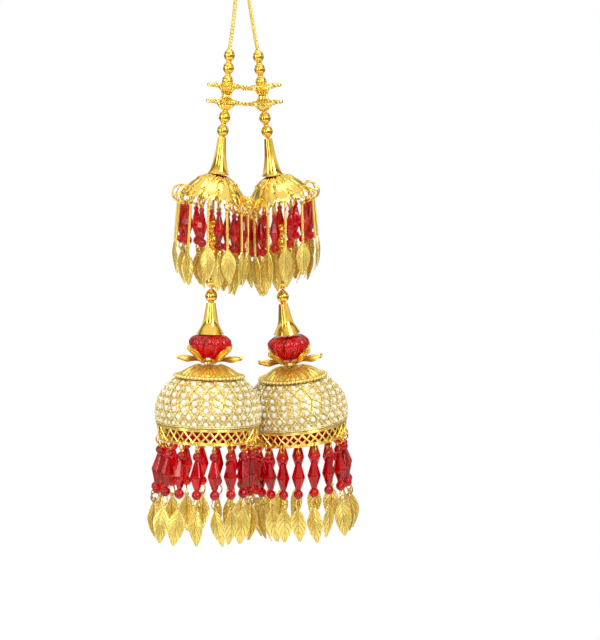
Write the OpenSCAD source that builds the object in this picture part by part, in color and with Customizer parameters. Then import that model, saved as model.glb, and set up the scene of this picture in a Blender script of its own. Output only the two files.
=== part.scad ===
// Bridal kalira: one twisted cord carries two strands of gold beads, trumpet cones, flower caps, a red
// bead, a lotus cap and a pearl dome, with fringes of red glass drops and embossed leaves.
// Millimetres, +Z up, +X to the right and -Y to the front. The origin lies under the top of the cord loop.

/* [Cord and thread] */
// Thickness of the twisted cord
cord_d = 1.4; // [1.2:0.1:1.4]
// Thickness of the thread inside the beads
thread_d = 0.6; // [0.4:0.1:0.7]
// Bore through the beads, spacers and cones
bore_d = 1.3; // [1.2:0.1:1.4]

/* [Gold beads] */
// Diameter of the three beads at the top of a strand
top_bead_d = 4.1; // [3.6:0.1:4.2]
// Diameter of the two beads under the spacer
mid_bead_d = 4.3; // [3.8:0.1:4.5]

/* [Spacers and cones] */
// Reach of a spacer's petals from the strand
petal_reach = 7.2; // [6:0.1:7.4]
// Width of a spacer's petal
petal_w = 2.8; // [2.2:0.1:3.2]
// Thickness of a spacer's petals
petal_t = 1.2; // [1:0.1:1.4]
// Petals round a spacer
spacer_petals = 6; // [5:1:7]
// Wall of the trumpet cones
cone_wall = 0.6; // [0.5:0.1:0.7]

/* [Flower cap] */
// Lobes round the rim of the flower cap
cap_lobes = 12; // [12:1:12]
// Radius of the flower cap at the tips of its lobes
cap_r = 13.3; // [13:0.1:13.4]
// Wall of the flower cap
cap_wall = 0.65; // [0.6:0.05:0.7]

/* [Red bead and lotus] */
// Radius of the fluted red bead
ruby_r = 8; // [7.6:0.1:8.2]
// Flutes round the red bead
ruby_flutes = 12; // [10:1:14]
// Reach of the flat petals of the lotus
lotus_reach = 12.2; // [11:0.1:12.4]

/* [Pearl dome] */
// Radius of the dome over its pearls
dome_r = 20; // [19.8:0.1:20]
// Rows of pearls on the dome
pearl_rows = 7; // [6:1:8]
// Wall of the dome
dome_wall = 1.2; // [1:0.1:1.4]
// Radius of the filigree cap on the dome
filigree_r = 12.5; // [12:0.1:12.6]
// Relief lobes round the filigree cap
filigree_lobes = 6; // [5:1:8]

/* [Gallery band] */
// Height of the pierced band
band_h = 6.2; // [6:0.1:6.4]
// Wall of the pierced band
band_wall = 0.8; // [0.7:0.05:0.8]
// Gaps in the band's upper row
upper_gaps = 24; // [20:2:24]
// Gaps in the band's lower row, where the jump rings hook in
lower_gaps = 36; // [36:18:36]

/* [Fringes] */
// Drops round a dome
dome_drops = 18; // [18:1:18]
// Wire of the jump rings
wire_d = 0.5; // [0.4:0.05:0.5]
// Width of a leaf under the flower cap
cap_leaf_w = 5.4; // [4.8:0.1:5.4]
// Width of a leaf under the dome
dome_leaf_w = 6.6; // [6:0.1:6.8]

/* [Hidden] */
$fn = 20;
wire_sides = 6;
SIDES = ["left", "right"];
BEAD_NAMES = ["top_bead_1", "top_bead_2", "top_bead_3", "mid_bead_1", "mid_bead_2"];
PIECES = [
  "thread", "spacer_upper", "spacer_lower", "upper_cone", "flower_cap", "inner_beads",
  "lower_cone", "red_bead", "lotus_cap", "filigree_cap", "pearl_dome", "gallery_band",
  "cap_rings", "cap_drops", "cap_leaves", "cap_chains", "dome_rings", "dome_drops", "dome_leaves"
];

// Colours of the piece as it is worn
gold = "gold";
leaf_gold = "khaki";
ruby_red = "firebrick";
pearl_white = "ivory";
cord_gold = "goldenrod";

// Joints of a strand, one row for the top of each piece and one for the foot of the band.
// Columns: x, y, z
left_joints = [
  [-4.4, -2.9, -21.9],
  [-5.4, -3.8, -35.6],
  [-5.6, -4.0, -38.4],
  [-6.1, -4.4, -44.4],
  [-7.3, -5.0, -54.0],
  [-8.7, -6.0, -68.2],
  [-10.4, -6.5, -76.7],
  [-11.5, -9.1, -115.0],
  [-11.8, -9.9, -126.6],
  [-12.1, -10.5, -136.5],
  [-12.1, -10.7, -137.7],
  [-12.9, -11.9, -165.4]
];
right_joints = [
  [5.7, 2.9, -22.3],
  [7.2, 3.8, -36.0],
  [7.5, 4.0, -38.8],
  [8.0, 4.4, -44.9],
  [9.5, 5.1, -54.8],
  [11.1, 6.1, -69.1],
  [13.6, 6.6, -77.4],
  [15.0, 9.3, -117.2],
  [16.6, 10.1, -129.5],
  [17.8, 10.8, -139.9],
  [18.2, 11.0, -141.3],
  [20.9, 12.1, -169.4]
];
joints = [left_joints, right_joints];

// Rows of the joint tables
at_beads = 0;
at_spacer = 1;
at_neck = 2;
at_mid_beads = 3;
at_upper_cone = 4;
at_flower_cap = 5;
at_inner_beads = 6;
at_lower_cone = 7;
at_red_bead = 8;
at_lotus = 9;
at_dome = 10;

// Route of the cord from the left strand over the peg to the right strand.
// Columns: x, y, z
cord_route = [
  [-4.4, -2.9, -21.8],
  [-4.1, -2.7, -19.0],
  [-3.6, -2.4, -15.5],
  [-3.1, -2.1, -12.0],
  [-2.7, -1.8, -8.5],
  [-2.4, -1.6, -5.0],
  [-2.2, -1.4, -3.0],
  [-1.8, -1.2, -1.2],
  [-1.0, -0.7, 0.2],
  [0, 0, 0.7],
  [1.0, 0.7, 0.2],
  [1.8, 1.2, -1.2],
  [2.4, 1.5, -3.0],
  [2.8, 1.7, -5.2],
  [3.4, 2.0, -9.0],
  [4.1, 2.3, -13.0],
  [4.8, 2.6, -17.5],
  [5.4, 2.8, -20.5],
  [5.7, 2.9, -22.2]
];
cord_sides = 8;
cord_steps = 3;
thread_sides = 6;
knot_d = 2.4;

// Beads of the long string. Columns: height over the lower cone, diameter
inner_bead_rows = [[2.6, 4.5], [8.2, 4.5], [13.7, 4.2], [18.5, 4.1], [23.2, 4.1], [27.9, 4.1]];

// Outer lines. Columns: radius, height
upper_cone_line = [[1.5, -0.1], [1.8, -3.6], [2.2, -7.2], [2.9, -10.7], [3.5, -12.7], [4.1, -13.8]];
lower_cone_line = [[1.7, -0.1], [2.1, -2.7], [2.7, -6.4], [3.3, -8.3], [4.3, -10.1], [5.1, -11.6]];
cup_line = [[1.7, -2.7], [2.2, -1.6], [3.2, -0.3], [3.2, 0.9], [2.3, 0.9], [1.4, -0.2]];
bulb_line = [[1.7, -0.1], [2.0, -1.2], [2.9, -2.3], [3.3, -3.0], [3.0, -4.2], [1.9, -5.4], [1.3, -5.8]];
cap_line = [[1.6, -0.1], [3.6, -0.4], [6.0, -1.6], [8.4, -3.5], [10.4, -5.7], [12.1, -8.2], [13.6, -10.8]];
ruby_line = [
  [5.0, -0.3], [6.6, -1.0], [7.6, -1.9], [8.0, -3.0], [7.7, -4.3], [6.7, -6.0], [5.0, -7.8], [3.0, -9.3]
];

// Flower cap
lobe_r = 3;
valley_r = 11.3;
cap_turns = [-22, -5];
cap_hole_d = 1.4;
drop_hole_r = valley_r - 1.1;
chain_hole_r = cap_r - 1.1;

// Centres of the jump rings beside the flower cap's rim. Columns: radius, height
drop_ring_place = [12.2, -9.0];
chain_ring_place = [13.3, -10.55];

// Pearl dome, measured down from the top of its filigree cap
rim_z = -4.7;
dome_centre_z = rim_z - 13;
dome_rise = 16.6;
dome_foot_z = rim_z - 17.2;
shell_inset = 0.9;
pearl_bulge = 0.9;
band_top_z = dome_foot_z - 0.1;
band_foot_z = band_top_z - band_h;
band_top_r = 18.9;
band_foot_r = 17.8;
ring_hole_z = band_foot_z + 1.9;
ring_hole_d = 1.6;
dome_turns = [0, 10];

// Red bead and lotus
ruby_turn = 14;
lotus_hub_r = 2.6;
lotus_hub_h = 1.0;

// Directions from one strand's domes and caps towards the other's, in degrees
facing = [36, 216];

// Drops. Columns: top bead, cut bead width, cut bead length, end bead, lower ring radius
cap_drop_row = [2.0, 4.3, 9.8, 3.3, 1.3];
dome_drop_row = [3.4, 5.2, 10.9, 3.6, 1.9];
eye_r = 0.65;
hook_r = 1.8;
cap_hook_r = 3.25;
chain_ring_r = 1.5;
play = 0.15;
drop_tuck = 5.5;
cut_sides = 6;
cut_waist = 0.54;

// Leaves. Columns: place along the leaf, half width as a share, curl as a share
leaf_rows = [[0, 0.12, 0], [0.16, 0.62, 0.02], [0.42, 1, 0.03], [0.72, 0.72, -0.03], [1, 0.06, -0.14]];
leaf_t = 0.7;
cap_leaf_l = 12.2;
dome_leaf_l = 13.4;

// Headings of the leaves in degrees from face on, one row a strand
cap_leaf_turns = [
  [-32, 8, 32, 32, -32, 14, 14, 20, -8, 32, 32, 20],
  [-32, 8, 32, 32, -32, 14, 14, 20, -8, 32, 20, 26]
];
chain_leaf_turns = [
  [14, -22, 14, -14, 6, -6, 6, 22, 30, 30, -6, -30],
  [14, -22, 14, -14, 6, -6, 6, 22, 30, 30, -6, -30]
];
dome_leaf_turns = [
  [52, 12, 24, -14, -50, -38, -26, -14, -36, -38, -14, 24, 34, -26, -48, 12, -50, 36],
  [52, -38, 24, -14, -50, -38, -26, -14, -36, -38, -14, 24, 34, -26, -48, 12, -50, 36]
];
chain_l = 14.5;
chain_d = 1.2;

function unit(v) = v / norm(v);
function polar(r, a, z) = [r * cos(a), r * sin(a), z];

// Frame with +Z up the strand from joint b to joint a and its origin at joint a
function strand_frame(a, b) =
  let (up = unit(a - b), side = unit(cross([0, 1, 0], up)), back = cross(up, side))
  [
    [side.x, back.x, up.x, a.x],
    [side.y, back.y, up.y, a.y],
    [side.z, back.z, up.z, a.z],
    [0, 0, 0, 1]
  ];
function frame_at(s, i) = strand_frame(joints[s][i], joints[s][i + 1]);
function place(s, i, p) =
  let (q = frame_at(s, i) * [p.x, p.y, p.z, 1])
  [q.x, q.y, q.z];

// Height of the surface under a point of an outline, for a falling outline
function line_z(line, r) =
  let (k = max([for (i = [0:len(line) - 2]) line[i][0] <= r ? i : 0]), a = line[k], b = line[k + 1])
  a[1] + (b[1] - a[1]) * (r - a[0]) / (b[0] - a[0]);

// Smooth route through points, with n steps between each pair
function smooth_point(p, i, t) =
  let (
    a = p[max(i - 1, 0)], b = p[i], c = p[i + 1], d = p[min(i + 2, len(p) - 1)],
    m = (c - a) / 2, n = (d - b) / 2
  )
  (2 * pow(t, 3) - 3 * pow(t, 2) + 1) * b + (pow(t, 3) - 2 * pow(t, 2) + t) * m
  + (3 * pow(t, 2) - 2 * pow(t, 3)) * c + (pow(t, 3) - pow(t, 2)) * n;
function smooth_route(p, n) = concat(
  [for (i = [0:len(p) - 2]) for (k = [0:n - 1]) smooth_point(p, i, k / n)],
  [p[len(p) - 1]]
);

// Closed skin over rings of points, each ring with the same number of points
module skin(rings) {
  n = len(rings[0]);
  m = len(rings);
  sides = [for (i = [0:m - 2]) for (k = [0:n - 1]) each [
    [i * n + k, (i + 1) * n + k, (i + 1) * n + (k + 1) % n],
    [i * n + k, (i + 1) * n + (k + 1) % n, i * n + (k + 1) % n]
  ]];
  first = [for (k = [0:n - 1]) k];
  last = [for (k = [n - 1:-1:0]) (m - 1) * n + k];
  polyhedron([for (ring = rings) each ring], concat(sides, [first], [last]), convexity = 6);
}

module tube(route, d, sides) {
  last = len(route) - 1;
  rings = [for (i = [0:last])
    let (
      along = unit(route[min(i + 1, last)] - route[max(i - 1, 0)]),
      across = unit(cross(along, [0, 1, 0])),
      up = cross(along, across)
    )
    [for (k = [0:sides - 1]) route[i] + d / 2 * (across * cos(360 * k / sides) + up * sin(360 * k / sides))]
  ];
  skin(rings);
}

module ring(r, d) {
  rotate_extrude() translate([r, 0]) circle(d = d, $fn = wire_sides);
}

module on_strand(s, i) {
  multmatrix(frame_at(s, i)) children();
}

module bore(h) {
  cylinder(d = bore_d, h = h, center = true);
}

module drilled_bead(d) {
  difference() {
    sphere(d = d);
    bore(2 * d);
  }
}

module cord_loop() {
  color(cord_gold) tube(smooth_route(cord_route, cord_steps), cord_d, cord_sides);
}

module thread(s) {
  end = place(s, at_dome, [0, 0, dome_centre_z + dome_rise - shell_inset - dome_wall - knot_d / 2 - 0.2]);
  route = concat([for (i = [0:at_dome]) joints[s][i]], [end]);
  color(cord_gold) union() {
    tube(route, thread_d, thread_sides);
    translate(end) sphere(d = knot_d);
  }
}

module string_bead(s, i, drop, d) {
  color(gold) on_strand(s, i) translate([0, 0, -drop]) drilled_bead(d);
}

module rosette() {
  for (k = [0:spacer_petals - 1]) rotate(360 * k / spacer_petals) linear_extrude(petal_t, center = true) {
    translate([2, -petal_w / 2]) square([petal_reach - petal_w / 2 - 2, petal_w]);
    translate([petal_reach - petal_w / 2, 0]) circle(d = petal_w);
  }
}

module turned_shape(line) {
  rotate_extrude() polygon(concat([[bore_d / 2, line[0][1]]], line, [[bore_d / 2, line[len(line) - 1][1]]]));
}

module spacer_upper(s) {
  color(gold) on_strand(s, at_spacer) {
    turned_shape(cup_line);
    difference() {
      translate([0, 0, 0.3]) rosette();
      cylinder(r = 2.7, h = 3, center = true);
    }
  }
}

module spacer_lower(s) {
  color(gold) on_strand(s, at_neck) {
    turned_shape(bulb_line);
    difference() {
      translate([0, 0, -2.9]) rosette();
      cylinder(r = 2.4, h = 12, center = true);
    }
  }
}

module trumpet(line) {
  n = len(line) - 1;
  difference() {
    turned_shape(line);
    rotate_extrude() polygon(concat(
      [[0, line[2][1]]],
      [for (k = [2:n]) [line[k][0] - cone_wall, line[k][1]]],
      [[line[n][0] - cone_wall, line[n][1] - 1], [0, line[n][1] - 1]]
    ));
  }
}

module flower_cap(s) {
  n = len(cap_line) - 1;
  color(gold) on_strand(s, at_flower_cap) difference() {
    intersection() {
      rotate_extrude() polygon(concat(
        [[bore_d / 2, cap_line[0][1]]],
        cap_line,
        [for (k = [n:-1:0]) [cap_line[k][0] - cap_wall / 2, cap_line[k][1] - cap_wall]],
        [[bore_d / 2, cap_line[0][1] - cap_wall]]
      ));
      translate([0, 0, -12]) linear_extrude(12) {
        circle(r = valley_r - 0.6);
        for (k = [0:cap_lobes - 1])
          rotate(lobe_angle(s, k)) translate([cap_r - lobe_r, 0]) circle(r = lobe_r);
      }
    }
    for (k = [0:cap_lobes - 1]) {
      translate(polar(chain_hole_r, lobe_angle(s, k), -12)) cylinder(d = cap_hole_d, h = 12);
      translate(polar(drop_hole_r, valley_angle(s, k), -12)) cylinder(d = cap_hole_d, h = 12);
    }
  }
}

function lobe_angle(s, k) = cap_turns[s] - 90 + 15 + 360 * k / cap_lobes;
function valley_angle(s, k) = cap_turns[s] - 90 + 360 * k / cap_lobes;

module inner_beads(s) {
  top = norm(joints[s][at_inner_beads] - joints[s][at_lower_cone]);
  color(gold) on_strand(s, at_inner_beads)
    for (row = inner_bead_rows) translate([0, 0, row[0] - top]) drilled_bead(row[1]);
}

module red_bead(s) {
  n = 2 * ruby_flutes;
  rings = [for (row = ruby_line) [for (k = [n - 1:-1:0])
    let (swirl = ruby_turn * row[1] / 9, flute = k % 2 == 0 ? 1 : 0.93)
    polar(row[0] * ruby_r / 8 * flute, 360 * k / n + swirl, row[1])
  ]];
  color(ruby_red) on_strand(s, at_red_bead) difference() {
    skin(rings);
    translate([0, 0, -5]) bore(12);
  }
}

// Sections of a lotus petal, the drooping ones first. Columns: reach as a share, half width, height of the
// rims, rise of the middle over the rims
lotus_rows = [
  [[0.17, 0.6, -0.6, 0.05], [0.4, 1.7, -0.2, 0.9], [0.66, 2.9, -0.5, 1.9], [0.88, 2.1, 0.1, 1.2],
   [1, 0.6, 0.9, 0.05]],
  [[0.17, 0.6, -0.5, 0.05], [0.4, 1.4, 0.4, -0.4], [0.68, 2.1, 2.9, -0.6], [0.88, 1.7, 4.4, -0.6],
   [1, 0.6, 4.9, 0.05]]
];
lotus_reaches = [1, 0.86];
lotus_t = 0.9;

module lotus_petal(raised) {
  reach = lotus_reach * lotus_reaches[raised];
  skin([for (row = lotus_rows[raised])
    let (r = row[0] * reach, w = row[1], z = row[2], rise = row[3])
    [[r, -w, z], [r, 0, z + rise - 0.1], [r, w, z], [r, w * 0.9, z + lotus_t],
     [r, 0, z + rise + lotus_t], [r, -w * 0.9, z + lotus_t]]
  ]);
}

module lotus_cap(s) {
  bead_l = norm(joints[s][at_red_bead] - joints[s][at_lotus]);
  color(gold) on_strand(s, at_red_bead) translate([0, 0, -bead_l]) difference() {
    union() {
      translate([0, 0, -lotus_hub_h]) rotate(22.5) cylinder(r = lotus_hub_r, h = lotus_hub_h - 0.1, $fn = 8);
      for (k = [0:7]) rotate(45 * k - 90) translate([0, 0, -0.5]) lotus_petal(k % 2);
    }
    bore(8);
  }
}

// Height of the dome's own surface at a radius, from the filigree cap's top
function dome_z(r) = dome_centre_z + dome_rise * sqrt(1 - pow(r / dome_r, 2));

module filigree_cap(s) {
  radii = [1.1, 3.4, 6.2, 8.8, 10.8, 12.0, 1.0 * filigree_r];
  n = 8 * filigree_lobes;
  top_rings = [for (r = radii) [for (k = [0:n - 1])
    let (
      wave = 0.5 + 0.5 * cos(360 * k * filigree_lobes / n),
      swell = sin(180 * pow(r / filigree_r, 1.4)),
      t = 0.75 + swell * (0.35 + 0.75 * wave)
    )
    polar(r, 360 * k / n, min(dome_z(r) + t, -0.1))
  ]];
  under_rings = [for (i = [len(radii) - 1:-1:0]) [for (k = [0:n - 1])
    polar(radii[i], 360 * k / n, dome_z(radii[i]) + 0.12 - shell_inset * (1 - radii[i] / filigree_r))
  ]];
  color(gold) on_strand(s, at_dome) shell_skin(concat(under_rings, top_rings));
}

// Closed skin over rings that run back to the first one
module shell_skin(rings) {
  n = len(rings[0]);
  m = len(rings);
  polyhedron([for (ring = rings) each ring], [for (i = [0:m - 1]) for (k = [0:n - 1]) each [
    [i * n + k, ((i + 1) % m) * n + (k + 1) % n, ((i + 1) % m) * n + k],
    [i * n + k, i * n + (k + 1) % n, ((i + 1) % m) * n + (k + 1) % n]
  ]], convexity = 8);
}

// Angles of the dome's outline, from its foot up to the edge of the filigree cap and on to its top
foot_angle = asin((dome_foot_z - dome_centre_z) / dome_rise);
rim_angle = asin(-(dome_centre_z - rim_z) / dome_rise);
function dome_point(a, inset) = [
  (dome_r - inset) * cos(a),
  dome_centre_z + (dome_rise - inset) * sin(a)
];

module pearl_dome(s) {
  row_step = (rim_angle - foot_angle) / pearl_rows;
  rows = [for (i = [0:pearl_rows - 1]) for (k = [0:3])
    let (a = foot_angle + row_step * (i + k / 4))
    dome_point(a, shell_inset - pearl_bulge * sin(45 * k))
  ];
  crown = [for (a = [rim_angle:(84 - rim_angle) / 4:84.01]) dome_point(a, shell_inset)];
  inner = [for (a = [84:(foot_angle - 84) / 12:foot_angle - 0.01]) dome_point(a, shell_inset + dome_wall)];
  color(pearl_white) on_strand(s, at_dome) rotate_extrude(angle = 360)
    polygon(concat(rows, crown, inner));
}

module gallery_band(s) {
  color(gold) on_strand(s, at_dome) difference() {
    rotate_extrude() polygon([
      [band_top_r, band_top_z], [band_foot_r, band_foot_z],
      [band_foot_r - band_wall, band_foot_z], [band_top_r - band_wall, band_top_z]
    ]);
    for (k = [0:upper_gaps - 1]) rotate(dome_turns[s] + 360 * (k + 0.5) / upper_gaps)
      translate([band_foot_r - 2, 0, band_foot_z + 4.2]) rotate([0, 90, 0]) cylinder(d = 2.3, h = 4, $fn = 4);
    for (k = [0:lower_gaps - 1]) rotate(dome_turns[s] + 360 * k / lower_gaps)
      translate([band_foot_r - 2, 0, ring_hole_z]) rotate([0, 90, 0]) cylinder(d = ring_hole_d, h = 4);
  }
}

// Places of the drops. Each is the centre of the jump ring that carries it
function dome_drop_angle(s, k) = dome_turns[s] + 360 * k / dome_drops;
function dome_hook(s, k) =
  place(s, at_dome, polar(band_foot_r - band_wall / 2 + 0.05, dome_drop_angle(s, k), ring_hole_z))
  - [0, 0, hook_r + 0.3];

// Upright ring through a hole of the flower cap: its centre, kept in line with the hole, and its direction
function rim_hook(s, a, hole_r, centre) =
  let (
    hole = place(s, at_flower_cap, polar(hole_r, a, line_z(cap_line, hole_r) - cap_wall / 2)),
    c = place(s, at_flower_cap, polar(centre[0], a, centre[1])),
    t = across_hook(s, a)
  )
  c - ((c - hole) * t) * t;
function hook_out(s, a) = place(s, at_flower_cap, polar(1, a, 0)) - place(s, at_flower_cap, [0, 0, 0]);
function across_hook(s, a) = unit([-hook_out(s, a).y, hook_out(s, a).x, 0]);
function hook_angle(s, a) = atan2(hook_out(s, a).y, hook_out(s, a).x);
function cap_hook(s, k) = rim_hook(s, valley_angle(s, k), drop_hole_r, drop_ring_place);
function chain_hook(s, k) = rim_hook(s, lobe_angle(s, k), chain_hole_r, chain_ring_place);

// Lean of a drop away from its strand: outward at the far side, inward where the strands face each other
function dome_lean(s, a) = 1.5 - 6.5 * cos(a - facing[s]);
function cap_lean(s, a) = 2 - 4 * cos(a - facing[s]);

module hook_rings(hooks, angles, r) {
  color(gold) for (k = [0:len(hooks) - 1])
    translate(hooks[k]) rotate(angles[k]) rotate([90, 0, 0]) ring(r, wire_d);
}

// Height of a drop's eye over the centre of a ring of radius r
function eye_z(r) = -r + wire_d + play - eye_r;
function drop_l(row) = eye_r + row[0] + row[2] + row[3] - 0.9;
function lower_ring_z(row) = -drop_l(row) - row[4] + 0.2;
function leaf_eye_z(row) = lower_ring_z(row) - row[4] + wire_d + play - eye_r;

module cut_bead(w, l) {
  skin([for (row = [[0.42, 0], [1, -cut_waist], [0.42, -1]])
    [for (k = [cut_sides - 1:-1:0]) polar(row[0] * w / 2, 360 * k / cut_sides, row[1] * l)]
  ]);
}

module drop(row, turn) {
  top_bead_z = -eye_r - row[0] / 2 + 0.15;
  cut_z = top_bead_z - row[0] / 2 + 0.25;
  end_bead_z = cut_z - row[2] - row[3] / 2 + 0.25;
  rotate([0, 90, 0]) ring(eye_r, wire_d);
  translate([0, 0, top_bead_z]) sphere(d = row[0]);
  translate([0, 0, cut_z]) rotate(turn) cut_bead(row[1], row[2]);
  translate([0, 0, end_bead_z]) sphere(d = row[3]);
  translate([0, 0, lower_ring_z(row)]) rotate([90, 0, turn]) ring(row[4], wire_d);
}

module leaf_blade(l, width) {
  skin([for (row = leaf_rows)
    let (w = row[1] * width / 2, c = row[2] * l, z = -row[0] * l)
    [[c, -w, z], [c - leaf_t / 2, 0, z], [c, w, z], [c + leaf_t / 2, 0, z]]
  ]);
}

module leaf(l, width, turn) {
  rotate(turn) {
    rotate([0, 90, 0]) ring(eye_r, wire_d);
    translate([0, 0, -eye_r]) leaf_blade(l, width);
  }
}

module hang(hook, angle, lean, r) {
  translate(hook) rotate(angle) translate([0, 0, eye_z(r)]) rotate([0, -lean, 0]) children();
}

module drops(hooks, angles, leans, r, row, turns) {
  color(ruby_red) for (k = [0:len(hooks) - 1])
    hang(hooks[k], angles[k], leans[k], r) drop(row, turns[k]);
}

module leaves(hooks, angles, leans, r, row, l, width, turns) {
  color(leaf_gold) for (k = [0:len(hooks) - 1])
    hang(hooks[k], angles[k], leans[k], r) translate([0, 0, leaf_eye_z(row)]) leaf(l, width, turns[k]);
}

module chains(s) {
  color(leaf_gold) for (k = [0:cap_lobes - 1]) {
    angle = hook_angle(s, lobe_angle(s, k));
    translate(chain_hook(s, k)) rotate(angle) {
      rotate([90, 0, 0]) ring(chain_ring_r, wire_d);
      translate([0, 0, -chain_ring_r]) rotate([0, -cap_lean(s, angle), 0]) {
        translate([0, 0, -chain_l]) cylinder(d = chain_d, h = chain_l, $fn = wire_sides);
        translate([0, 0, 0.3 - chain_l]) rotate(chain_leaf_turns[s][k]) leaf_blade(cap_leaf_l, cap_leaf_w);
      }
    }
  }
}

module strand_piece(s, name) {
  dome_hooks = [for (k = [0:dome_drops - 1]) dome_hook(s, k)];
  dome_angles = [for (k = [0:dome_drops - 1]) dome_drop_angle(s, k)];
  dome_leans = [for (a = dome_angles) dome_lean(s, a)];
  cap_hooks = [for (k = [0:cap_lobes - 1]) cap_hook(s, k)];
  cap_angles = [for (k = [0:cap_lobes - 1]) hook_angle(s, valley_angle(s, k))];
  cap_leans = [for (a = cap_angles) cap_lean(s, a) - drop_tuck];
  if (name == "thread") thread(s);
  if (name == "top_bead_1") string_bead(s, at_beads, 2.2, top_bead_d);
  if (name == "top_bead_2") string_bead(s, at_beads, 6.9, top_bead_d);
  if (name == "top_bead_3") string_bead(s, at_beads, 11.6, top_bead_d);
  if (name == "spacer_upper") spacer_upper(s);
  if (name == "spacer_lower") spacer_lower(s);
  if (name == "mid_bead_1") string_bead(s, at_mid_beads, 2.3, mid_bead_d);
  if (name == "mid_bead_2") string_bead(s, at_mid_beads, 7.3, mid_bead_d);
  if (name == "upper_cone") color(gold) on_strand(s, at_upper_cone) trumpet(upper_cone_line);
  if (name == "flower_cap") flower_cap(s);
  if (name == "inner_beads") inner_beads(s);
  if (name == "lower_cone") color(gold) on_strand(s, at_lower_cone) trumpet(lower_cone_line);
  if (name == "red_bead") red_bead(s);
  if (name == "lotus_cap") lotus_cap(s);
  if (name == "filigree_cap") filigree_cap(s);
  if (name == "pearl_dome") pearl_dome(s);
  if (name == "gallery_band") gallery_band(s);
  if (name == "cap_rings") hook_rings(cap_hooks, cap_angles, cap_hook_r);
  if (name == "cap_drops")
    drops(cap_hooks, cap_angles, cap_leans, cap_hook_r, cap_drop_row, cap_leaf_turns[s]);
  if (name == "cap_leaves")
    leaves(
      cap_hooks, cap_angles, cap_leans, cap_hook_r, cap_drop_row, cap_leaf_l, cap_leaf_w, cap_leaf_turns[s]
    );
  if (name == "cap_chains") chains(s);
  if (name == "dome_rings") hook_rings(dome_hooks, dome_angles, hook_r);
  if (name == "dome_drops")
    drops(dome_hooks, dome_angles, dome_leans, hook_r, dome_drop_row, dome_leaf_turns[s]);
  if (name == "dome_leaves") leaves(
    dome_hooks, dome_angles, dome_leans, hook_r, dome_drop_row, dome_leaf_l, dome_leaf_w, dome_leaf_turns[s]
  );
}

cord_loop();
for (s = [0, 1]) for (name = concat(PIECES, BEAD_NAMES)) {
  strand_piece(s, name);
}
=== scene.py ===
import bpy
import bmesh
import math
import random
from mathutils import Matrix, Vector


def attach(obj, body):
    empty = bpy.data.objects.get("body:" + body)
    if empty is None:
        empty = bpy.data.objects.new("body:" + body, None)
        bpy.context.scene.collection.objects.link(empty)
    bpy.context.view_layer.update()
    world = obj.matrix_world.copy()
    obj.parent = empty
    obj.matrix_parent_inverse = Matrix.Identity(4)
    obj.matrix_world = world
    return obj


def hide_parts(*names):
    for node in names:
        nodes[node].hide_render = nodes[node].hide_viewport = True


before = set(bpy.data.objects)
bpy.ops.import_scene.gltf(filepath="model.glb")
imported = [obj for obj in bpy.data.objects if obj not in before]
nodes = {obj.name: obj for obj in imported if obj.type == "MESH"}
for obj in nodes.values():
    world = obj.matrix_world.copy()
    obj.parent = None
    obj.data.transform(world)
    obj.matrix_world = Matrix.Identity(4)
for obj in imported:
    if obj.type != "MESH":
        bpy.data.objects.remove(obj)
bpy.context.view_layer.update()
mm = 0.001
sides = ["left", "right"]

# joints of the two strands in mm, from the cord down to the foot of the band
leftJoints = [
    (-4.4, -2.9, -21.9), (-5.4, -3.8, -35.6), (-5.6, -4.0, -38.4), (-6.1, -4.4, -44.4),
    (-7.3, -5.0, -54.0), (-8.7, -6.0, -68.2), (-10.4, -6.5, -76.7), (-11.5, -9.1, -115.0),
    (-11.8, -9.9, -126.6), (-12.1, -10.5, -136.5), (-12.1, -10.7, -137.7), (-12.9, -11.9, -165.4)]
rightJoints = [
    (5.7, 2.9, -22.3), (7.2, 3.8, -36.0), (7.5, 4.0, -38.8), (8.0, 4.4, -44.9),
    (9.5, 5.1, -54.8), (11.1, 6.1, -69.1), (13.6, 6.6, -77.4), (15.0, 9.3, -117.2),
    (16.6, 10.1, -129.5), (17.8, 10.8, -139.9), (18.2, 11.0, -141.3), (20.9, 12.1, -169.4)]
joints = [[Vector(p) for p in leftJoints], [Vector(p) for p in rightJoints]]
atSpacer, atNeck, atUpperCone, atFlowerCap = 1, 2, 4, 5
atLowerCone, atRedBead, atLotus, atDome = 7, 8, 9, 10


# shapes that several pieces use
def strandFrame(s, i):
    a, b = joints[s][i], joints[s][i + 1]
    up = (a - b).normalized()
    side = Vector((0, 1, 0)).cross(up).normalized()
    back = up.cross(side)
    m = Matrix((side, back, up)).transposed().to_4x4()
    m.translation = a
    return m


def polar(r, degrees, z):
    a = math.radians(degrees)
    return Vector((r * math.cos(a), r * math.sin(a), z))


def turn(degrees, axis="Z"):
    return Matrix.Rotation(math.radians(degrees), 4, axis)


def shift(x, y, z):
    return Matrix.Translation((x, y, z))


def lineAt(line, r):
    # height of an outline of (radius, height) rows under radius r
    for (r0, z0), (r1, z1) in zip(line, line[1:]):
        if r <= r1:
            return z0 + (z1 - z0) * (r - r0) / (r1 - r0)
    return line[-1][1]


def smoothStep(x, lo, hi):
    t = min(max((x - lo) / (hi - lo), 0), 1)
    return t * t * (3 - 2 * t)


def bump(x, centre, width):
    return math.exp(-((x - centre) / width) ** 2)


def rounded(points, steps, closed=False):
    # Catmull-Rom through the points
    out = []
    n = len(points)
    last = n if closed else n - 1
    for i in range(last):
        if closed:
            a, b, c, d = points[i - 1], points[i], points[(i + 1) % n], points[(i + 2) % n]
        else:
            a, b, c, d = points[max(i - 1, 0)], points[i], points[i + 1], points[min(i + 2, n - 1)]
        for k in range(steps):
            t = k / steps
            out.append(0.5 * ((2 * b) + (c - a) * t + (2 * a - 5 * b + 4 * c - d) * t * t
                              + (3 * b - a - 3 * c + d) * t ** 3))
    if not closed:
        out.append(points[-1].copy())
    return out


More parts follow.
